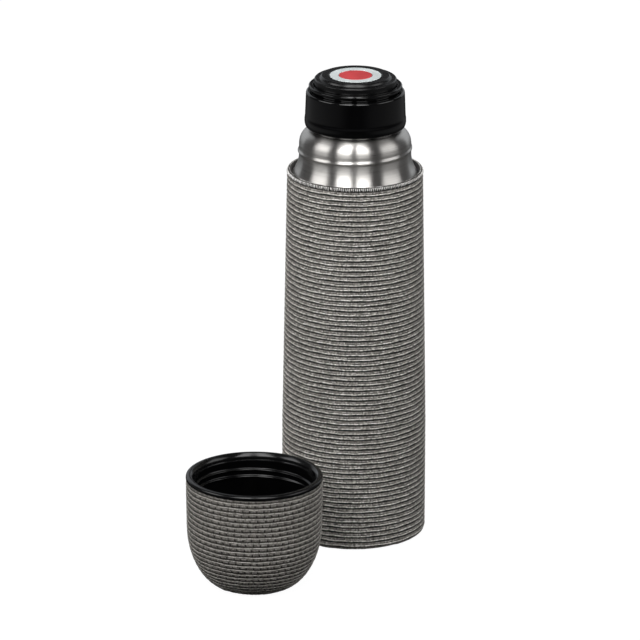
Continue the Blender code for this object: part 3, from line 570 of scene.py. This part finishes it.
def fabric(name, painted_groove_shade, dark, mid, light, glints):
    """Stitched tape: the depth and each block's tone come from the mesh, fibres and painted glints from
    noise. The colour darkens towards the first colour as the tape lies deeper, a painted shade in the grooves
    and notches.
    """
    made = Finish(name, mid, 0.7)
    depth = made.attribute("depth")
    tone = made.attribute("tone")
    fibres = made.noise(1.0, 3.0, made.scaled(1500, 1500, 1000))
    specks = made.noise(1.0, 2.0, made.scaled(850, 850, 1300))
    worn = made.noise(45.0, 3.0)
    shade = made.ramp(specks, 0.3, 0.5, 0.45, 1.0)
    shade = made.math("MULTIPLY", shade, made.ramp(fibres, 0.32, 0.62, 0.25, 1.0))
    shade = made.math("MULTIPLY", shade, made.ramp(tone, 0, 1, 0.85, 1.1))
    shade = made.math("MULTIPLY", shade, made.ramp(worn, 0.3, 0.7, 0.85, 1.12))
    # Painted glints: near-white specks on the raised fibres, for light caught by the metallic thread, with
    # lower roughness.
    painted_glint = made.math("MULTIPLY", made.ramp(specks, 0.52, 0.62, 0, 1), made.ramp(fibres, 0.45, 0.6, 0.2, 1))
    painted_glint = made.math("MULTIPLY", painted_glint, made.math("MULTIPLY", made.ramp(depth, 0.55, 0.9, 0, 1), glints))
    colour = made.mix(painted_glint, made.mix(shade, dark, mid), light)
    # Painted shade: the deeper the tape lies, the nearer its colour comes to the dark groove colour.
    made.to("Base Color", made.mix(made.ramp(depth, 0.25, 0.9, 0, 1), painted_groove_shade, colour))
    made.to("Roughness", made.ramp(painted_glint, 0, 1, 0.72, 0.34))
    made.set("Sheen Weight", 0.1)
    made.set("Sheen Roughness", 0.5)
    made.bump(made.math("ADD", fibres, specks), 0.6, 0.2 * MM)
    return made.material


def cord_finish(name, colour, light, glints):
    """Twisted cord with a silvery strand in it, whose glints are painted in as near-white colour."""
    made = Finish(name, colour, 0.5)
    twist = made.noise(1.0, 2.0, made.scaled(1000, 1000, 1400))
    patches = made.noise(60.0, 3.0)
    # The silvery strand is real, and its glints are painted in: near-white colour and lower roughness where
    # it shows.
    silver_and_glint = made.ramp(patches, 0.35, 0.65, 0.6 * glints, glints)
    silver_and_glint = made.math("MULTIPLY", silver_and_glint, made.ramp(twist, 0.46, 0.60, 0, 1))
    plain = made.mix(made.ramp(twist, 0.3, 0.5, 0, 1), tuple(c * 0.35 for c in colour), colour)
    made.to("Base Color", made.mix(silver_and_glint, plain, light))
    made.to("Roughness", made.ramp(silver_and_glint, 0, 1, 0.6, 0.3))
    made.bump(twist, 0.6, 0.15 * MM)
    return made.material


def rubber(name, colour, roughness):
    """Matt rubber with a fine grain."""
    made = Finish(name, colour, roughness)
    fine = made.noise(2200.0, 3.0)
    clouds = made.noise(70.0, 2.0)
    lighter = tuple(min(1.0, c * 1.3) for c in colour)
    made.to("Base Color", made.mix(made.ramp(clouds, 0.3, 0.7, 0, 1), colour, lighter))
    made.to("Roughness", made.ramp(fine, 0.3, 0.7, roughness * 0.9, min(1, roughness * 1.1)))
    made.bump(fine, 0.25, 0.03 * MM)
    return made.material


def silicone():
    """Milky silicone that lets some light into it."""
    made = Finish("clear_silicone", (0.78, 0.78, 0.76), 0.42)
    clouds = made.noise(120.0, 2.0)
    made.to("Base Color", made.mix(made.ramp(clouds, 0.3, 0.7, 0, 1), (0.74, 0.74, 0.71), (0.84, 0.84, 0.82)))
    made.set("Subsurface Weight", 0.35)
    made.set("Subsurface Scale", 0.001)
    made.to("Roughness", made.ramp(clouds, 0.3, 0.7, 0.36, 0.5))
    made.bump(made.noise(900.0), 0.08, 0.03 * MM)
    return made.material


def metal(name, colour, roughness, grain_scale, grain):
    """Plain metal, from smooth foil to coarse sinter."""
    made = Finish(name, colour, roughness, 1.0)
    noise = made.noise(grain_scale, 4.0)
    made.to("Base Color", made.mix(made.ramp(noise, 0.3, 0.7, 0, 1), tuple(c * 0.8 for c in colour), colour))
    made.to("Roughness", made.ramp(noise, 0.3, 0.7, roughness * 0.8, roughness * 1.2))
    made.bump(noise, grain, 0.05 * MM)
    return made.material


# Placing pieces


body_of = {node: body for body, nodes in frame["record"]["behaviour"]["bodies"].items() for node in nodes}


def finish_piece(made, node, material, replaces=True):
    """Gives the piece its material and body, and lets it stand for its CAD node."""
    made.data.materials.append(material)
    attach(made, body_of[node])
    if replaces:
        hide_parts(node)


def even_shading(made):
    """Keeps the shading of flat stretches flat beside the rounded corners."""
    made.modifiers.new("even shading", "WEIGHTED_NORMAL").keep_sharp = True


def turned_piece(node, material, segments=SEGMENTS):
    """A fine copy of a turned CAD node, with its corners rounded."""
    line, closed = outline_of(node)
    made = spun(node + "_fine", rounded(line, closed, CORNER), closed, axis_of(node), segments)
    even_shading(made)
    finish_piece(made, node, material)


# The stitched sleeves


def stitched_rows(path, start, tape, rng):
    """Rows of notched tape down a path, with their depth and tone, and the places of the cords between."""
    count = int((path.total - start) / tape.pitch)
    step = (path.total - start) / count
    shares = (0.0, tape.notch, 0.5, 1.0 - tape.notch)
    rows = [(1 - f, d, n) for f, d, n in reversed(TAPE_ROW)] if tape.flipped else TAPE_ROW
    found = []
    phase = 0.0
    for number in range(count):
        phase += ROW_SHIFT + rng.uniform(-0.15, 0.15)
        lengths = 1 + rng.uniform(-0.12, 0.12, tape.blocks)
        ends = np.cumsum(lengths / lengths.sum() * tape.blocks) + phase
        starts = np.concatenate([[phase], ends[:-1]])
        turn = np.concatenate([[a + (b - a) * s for s in shares] for a, b in zip(starts, ends)])
        tone = np.repeat(rng.uniform(0, 1, tape.blocks), len(shares))
        for share, depth, notched in rows:
            length = start + step * (number + share)
            sunk = np.full(len(turn), depth * tape.relief * MM)
            if notched:
                sunk[:: len(shares)] += tape.notch_depth * rng.uniform(0.6, 1.0, tape.blocks)
                sunk += TAPE_FUZZ * rng.uniform(-1, 1, len(turn))
            r, z = path.at(length)
            nr, nz = path.normal(length)
            angles = turn / tape.blocks * math.tau
            found.append((r - nr * sunk, z - nz * sunk, angles, 1 - sunk / GAP_DEPTH, tone))
    place = 1 - CORD_PLACE if tape.flipped else CORD_PLACE
    lengths = [start + step * (number + place) for number in range(count)]
    centres = [path.at(length) - path.normal(length) * CORD_SINK for length in lengths]
    return [np.array(column) for column in zip(*found)], centres


def sleeve(node, start, tape, fabric_finish, cord, seed):
    """The tape and the cords of one stitched sleeve, closed with its plain lining."""
    rng = np.random.default_rng(seed)
    line, _ = outline_of(node)
    outer = outer_line(node)
    lining = line[len(outer):]
    path = Path(rounded(outer, False, SLEEVE_CORNER))
    centre = axis_of(node)
    stitched, centres = stitched_rows(path, start, tape, rng)
    columns = stitched[0].shape[1]
    plain = np.linspace(0, math.tau, columns, endpoint=False)

    def rows_of(points, shade):
        """Plain rows through the points, in the form of stitched_rows."""
        full = np.ones((len(points), columns))
        points = np.array(points)
        return full * points[:, :1], full * points[:, 1:], full * plain, full * shade, full * 0.5

    # shade is the depth that the plain head and lining take, and with it how dark the groove colour makes
    # them.
    head = rows_of([path.at(x) for x in np.linspace(0, start, 6)[:-1]] if start else [path.at(0)], 0.35)
    tail = rows_of(lining, 0.3)
    radii, heights, angles, depth, tone = (np.concatenate(group) for group in zip(head, stitched, tail))
    radii = np.maximum(radii, min(r for r, _ in line))
    made = grid(node + "_tape", radii, heights, angles, True, centre)
    outward(made)
    for name, values in (("depth", depth), ("tone", tone)):
        layer = made.data.attributes.new(name, "FLOAT", "POINT")
        layer.data.foreach_set("value", values.astype(np.float32).ravel())
    finish_piece(made, node, fabric_finish)
    name = node + "_cords"
    cords = rings(name, centres, tape.cord, columns, CORD_SIDES, CORD_WANDER, CORD_BEADING, rng, centre)
    finish_piece(cords, node, cord, replaces=False)


def hem(node, material):
    """Overlock stitches over the sleeve's top, under the thin cord of its edge."""
    path = Path(rounded(outer_line(node), False, SLEEVE_CORNER))
    rng = np.random.default_rng(HEM_SEED)
    centre = path.at(0.1 * MM) - path.normal(0.4 * MM) * HEM_CORD
    edge = rings(node + "_edge", [centre], HEM_CORD, 2 * HEM_STITCHES, sides=8, wave=0.02 * MM, beading=0.10,
                 rng=rng)
    finish_piece(edge, node, material, replaces=False)
    points = []
    faces = []
    sides = HEM_STITCH_SIDES
    for stitch in range(HEM_STITCHES):
        angle = math.tau * (stitch + rng.uniform(-0.12, 0.12)) / HEM_STITCHES
        slant = rng.uniform(0.2, 0.5) * math.tau / HEM_STITCHES
        reach = HEM * rng.uniform(0.85, 1.0)
        start = len(points)
        for share in np.linspace(0, 1, HEM_STITCH_STEPS):
            length = HEM_START + (reach - HEM_START) * share
            r, z = path.at(length)
            nr, nz = path.normal(length)
            lift = HEM_CORD * (0.55 * math.sin(math.pi * share) ** 0.5 - 0.35)
            c, s = math.cos(angle + slant * share), math.sin(angle + slant * share)
            thick = HEM_CORD * (0.7 + 0.3 * math.sin(math.pi * share))
            for side in np.linspace(0, math.tau, sides, endpoint=False):
                raised = lift + thick * math.cos(side)
                out, across = r + nr * raised, thick * math.sin(side)
                points.append((out * c - across * s, out * s + across * c, z + nz * raised))
        for step in range(HEM_STITCH_STEPS - 1):
            for side in range(sides):
                a, b = start + step * sides + side, start + step * sides + (side + 1) % sides
                faces.append((a, b, b + sides, a + sides))
        faces.append(list(range(start, start + sides))[::-1])
        faces.append(list(range(len(points) - sides, len(points))))
    made = object_of(node + "_hem", points, faces)
    outward(made)
    finish_piece(made, node, material, replaces=False)


# Threaded pieces and the spring


def threaded_piece(node, material, wall, band, lead, top, span, height, half_width, corner=CORNER):
    """A fine copy of a turned CAD node whose thread is smoothed away from its wall and raised afresh."""
    centre = axis_of(node)
    near, far = sorted((0.0, height))

    def on_wall(line):
        """The line with the points of the CAD thread put back on the wall."""
        made = []
        for r, z in line:
            off = r - wall(z)
            touches = band[0] <= z <= band[1] and near - THREAD_PLAY < off < far + THREAD_PLAY
            made.append((wall(z), z) if touches else (r, z))
        return made

    line, closed = outline_of(node)
    line = rounded(on_wall(line), closed, corner)
    line = on_wall(dense(line + line[:1] if closed else line, WALL_STEP))
    made = spun(node + "_fine", line[:-1] if closed else line, closed, centre, THREAD_SEGMENTS)
    raise_ridge(made, wall, band, lead, top, span, height, half_width, centre)
    even_shading(made)
    finish_piece(made, node, material)


def shell_piece(material):
    """Steel shell with its flare and the rolled bead that takes the cup."""
    sleeve_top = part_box("body_sleeve")[1].z
    rim, foot, dome = (sleeve_top + rise for rise in (FLARE_RIM, FLARE_FOOT, DOME_FOOT))
    outer = outer_line("outer_shell")
    narrow = min(r for r, z in outer if abs(z - dome) < SAME_HEIGHT)
    wide = max(r for r, z in outer if abs(z - foot) < SAME_HEIGHT)

    def wall(z):
        share = min(1.0, max(0.0, (rim - z) / (rim - foot)))
        return narrow + (wide - narrow) * share**FLARE_POWER

    top = sleeve_top + BEAD_TOP
    threaded_piece("outer_shell", material, wall, (foot, dome), CUP_LEAD, top, BEAD_SPAN, BEAD_HEIGHT,
                   BEAD_HALF, SHELL_CORNER)


def liner_piece(material):
    """Cup liner with the thread that takes the flask's bead."""
    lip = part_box("cup_liner")[1].z
    top = lip - LINER_DROP
    band = (top - 2.6 * CUP_LEAD, lip - LINER_LIP)
    threaded_piece("cup_liner", material, lambda z: LINER_ROOT, band, CUP_LEAD, top, THREAD_SPAN,
                   -THREAD_DEPTH, LINER_RIDGE_HALF, LINER_CORNER)


def vessel_piece(material):
    """Inner vessel with the thread that takes the stopper."""
    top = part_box("inner_vessel")[1].z - NECK_DROP + STOPPER_LEAD / 2
    band = (top - 2.5 * STOPPER_LEAD, top + STOPPER_LEAD / 2)
    threaded_piece("inner_vessel", material, lambda z: NECK_BORE, band, STOPPER_LEAD, top, THREAD_SPAN,
                   -THREAD_DEPTH, STOPPER_LEAD / 2)


def spring_piece(material):
    """Coil spring of round wire, filling the box of its CAD node."""
    node = "main_spring"
    low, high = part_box(node)
    radius = (high.x - low.x) / 2 - SPRING_WIRE
    count = SPRING_TURNS * SPRING_STEPS
    spine = []
    for index in range(count + 1):
        angle = math.tau * SPRING_TURNS * index / count
        z = low.z + SPRING_WIRE + (high.z - low.z - 2 * SPRING_WIRE) * index / count
        spine.append((radius * math.cos(angle), radius * math.sin(angle), z))
    made = tube("main_spring_fine", spine, SPRING_WIRE, SPRING_SIDES)
    finish_piece(made, node, material)
    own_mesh(made)


# Stage, light and camera


def softbox(name, azimuths, heights, reach, radiance, colour=(1.0, 1.0, 1.0)):
    """An upright soft light over a range of azimuths. 0 is the camera's side, and +X is at 90 degrees."""
    middle = math.radians(sum(azimuths) / 2)
    half = math.radians(azimuths[1] - azimuths[0]) / 2
    data = bpy.data.lights.new(name, "AREA")
    data.shape = "RECTANGLE"
    data.size = 2 * reach * math.tan(half)
    data.size_y = heights[1] - heights[0]
    data.energy = radiance * math.pi * data.size * data.size_y
    data.color = colour
    light = bpy.data.objects.new(name, data)
    bpy.context.scene.collection.objects.link(light)
    light.location = (reach * math.sin(middle), -reach * math.cos(middle), sum(heights) / 2)
    light.rotation_euler = (-math.pi / 2, 0.0, middle + math.pi)
    light.visible_camera = False


def floor():
    """A white floor that, in reflections, is dim in front of the object and grey at its sides."""
    corners = [(x * FLOOR_REACH, y * FLOOR_REACH, 0) for x, y in ((-1, -1), (1, -1), (1, 1), (-1, 1))]
    made = object_of("floor", corners, [(0, 1, 2, 3)])
    finish = Finish("pale_floor", (0.0, 0.0, 0.0), 1.0)
    separate = finish.node("ShaderNodeSeparateXYZ")
    finish.link(finish.place, separate.inputs["Vector"])
    sideways = finish.ramp(finish.math("ABSOLUTE", separate.outputs["X"], 0.0), 0.25, 0.6, 0.04, 0.26)
    glow = finish.node("ShaderNodeEmission")
    glow.inputs["Strength"].default_value = 1.1
    matt = finish.node("ShaderNodeBsdfDiffuse")
    matt.inputs["Color"].default_value = (0.85, 0.85, 0.85, 1)
    dim = finish.node("ShaderNodeBsdfDiffuse")
    finish.link(sideways, dim.inputs["Color"])
    pale = finish.node("ShaderNodeMixShader")
    pale.inputs["Fac"].default_value = 0.12
    finish.link(glow.outputs[0], pale.inputs[1])
    finish.link(matt.outputs[0], pale.inputs[2])
    seen = finish.node("ShaderNodeMixShader")
    finish.link(finish.node("ShaderNodeLightPath").outputs["Is Camera Ray"], seen.inputs["Fac"])
    finish.link(dim.outputs[0], seen.inputs[1])
    finish.link(pale.outputs[0], seen.inputs[2])
    finish.link(seen.outputs[0], finish.tree.nodes["Material Output"].inputs["Surface"])
    finish.tree.nodes.remove(finish.shader)
    made.data.materials.append(finish.material)


def surroundings():
    """White behind the object, and a dim grey room in reflections."""
    world = bpy.data.worlds.new("studio")
    bpy.context.scene.world = world
    world.use_nodes = True
    tree = world.node_tree
    back = tree.nodes["Background"]
    path = tree.nodes.new("ShaderNodeLightPath")
    tone = tree.nodes.new("ShaderNodeMix")
    tone.data_type = "RGBA"
    tone.inputs[6].default_value = (0.07, 0.07, 0.072, 1)
    tone.inputs[7].default_value = (1, 1, 1, 1)
    tree.links.new(path.outputs["Is Camera Ray"], tone.inputs[0])
    tree.links.new(tone.outputs[2], back.inputs["Color"])


def camera():
    """A long lens from in front and above."""
    data = bpy.data.cameras.new("camera")
    data.lens = CAMERA_LENS
    data.sensor_width = 36.0
    data.clip_end = 50
    made = bpy.data.objects.new("camera", data)
    bpy.context.scene.collection.objects.link(made)
    pitch = Matrix.Rotation(math.radians(90 - CAMERA_DIP), 4, "X")
    roll = Matrix.Rotation(CAMERA_ROLL, 4, "Z")
    made.matrix_world = Matrix.Translation(CAMERA_PLACE) @ pitch @ roll
    bpy.context.scene.camera = made


camera()
surroundings()
floor()
softbox("front_left", (-38, -9.5), (0.40, 3.6), 0.7, 4.9)
softbox("front_right", (3.5, 31), (0.42, 3.6), 0.7, 4.0)
softbox("side_left", (-93, -58), (0.42, 1.4), 1.3, 2.7)
softbox("side_right", (58, 98), (0.42, 1.4), 1.3, 1.7)
softbox("back_left", (-175, -130), (0.1, 1.3), 1.3, 0.5, (0.92, 0.96, 1.0))
softbox("back_right", (130, 175), (0.1, 1.3), 1.3, 0.5, (0.92, 0.96, 1.0))

steel = brushed_steel()
gloss = plastic("black_gloss_plastic", BLACK, 0.10, 0.02)
button_gloss = plastic("button_gloss_plastic", BLACK, 0.26, 0.05)
liner_gloss = plastic("liner_gloss_plastic", BLACK, 0.19, 0.04)
satin = plastic("black_satin_plastic", (0.018, 0.018, 0.019), 0.38, 0.15)
pale = plastic("pale_inlay", (0.66, 0.71, 0.71), 0.32, 0.03)
red = plastic("red_inlay", (0.62, 0.055, 0.06), 0.32, 0.03)
milky = silicone()
seal_rubber = rubber("seal_rubber", (0.03, 0.03, 0.03), 0.6)
base_rubber = rubber("base_rubber", (0.03, 0.03, 0.032), 0.75)
foil = metal("reflective_foil", (0.86, 0.86, 0.86), 0.22, 140.0, 0.35)
getter = metal("getter_metal", (0.45, 0.44, 0.42), 0.5, 2500.0, 0.6)
solder = metal("solder", (0.55, 0.55, 0.56), 0.42, 600.0, 0.3)
spring_steel = metal("spring_steel", (0.55, 0.55, 0.56), 0.32, 1500.0, 0.1)
# The first colour of each fabric is painted shade for the bottom of its grooves, and the fourth is its
# painted glint colour.
body_fabric = fabric("sleeve_fabric", (0.005, 0.0043, 0.0035), (0.052, 0.046, 0.040), (0.325, 0.306, 0.276),
                     (0.84, 0.81, 0.765), 0.8)
cup_fabric = fabric("cup_fabric", (0.027, 0.025, 0.022), (0.082, 0.075, 0.066), (0.325, 0.307, 0.276),
                    (0.60, 0.58, 0.545), 0.5)
# The second colour of each cord is its silvery strand with the glints painted in.
body_cord = cord_finish("sleeve_cord", (0.56, 0.53, 0.485), (0.95, 0.92, 0.875), 1.0)
cup_cord = cord_finish("cup_cord", (0.44, 0.416, 0.377), (0.68, 0.655, 0.615), 0.6)
hem_cord = cord_finish("hem_cord", (0.70, 0.68, 0.65), (0.97, 0.96, 0.95), 1.0)

for node, material in (
    ("base_pad", base_rubber),
    ("outer_bottom", steel),
    ("inner_bottom", steel),
    ("reflective_foil", foil),
    ("stopper_shell", gloss),
    ("plug_gasket", milky),
    ("valve_disc", satin),
    ("valve_seal", milky),
    ("release_ring", gloss),
    ("push_button", button_gloss),
    ("button_ring_inlay", pale),
    ("button_disc_inlay", red),
    ("cup_base_disc", satin),
):
    turned_piece(node, material)
for node, material in (
    ("getter", getter),
    ("vacuum_seal", solder),
    ("valve_stem", satin),
    ("stem_o_ring", seal_rubber),
):
    turned_piece(node, material, segments=SMALL_SEGMENTS)

shell_piece(steel)
liner_piece(liner_gloss)
spring_piece(spring_steel)
vessel_piece(steel)
sleeve("body_sleeve", HEM, BODY_TAPE, body_fabric, body_cord, BODY_SEED)
hem("body_sleeve", hem_cord)
sleeve("cup_sleeve", 0.0, CUP_TAPE, cup_fabric, cup_cord, CUP_SEED)
for node in ("stopper_plug", "latch_plate"):  # out of sight, so their CAD meshes stay
    materials = frame["nodes"][node].data.materials
    materials.clear()
    materials.append(satin)

bpy.context.scene.view_settings.view_transform = "Standard"
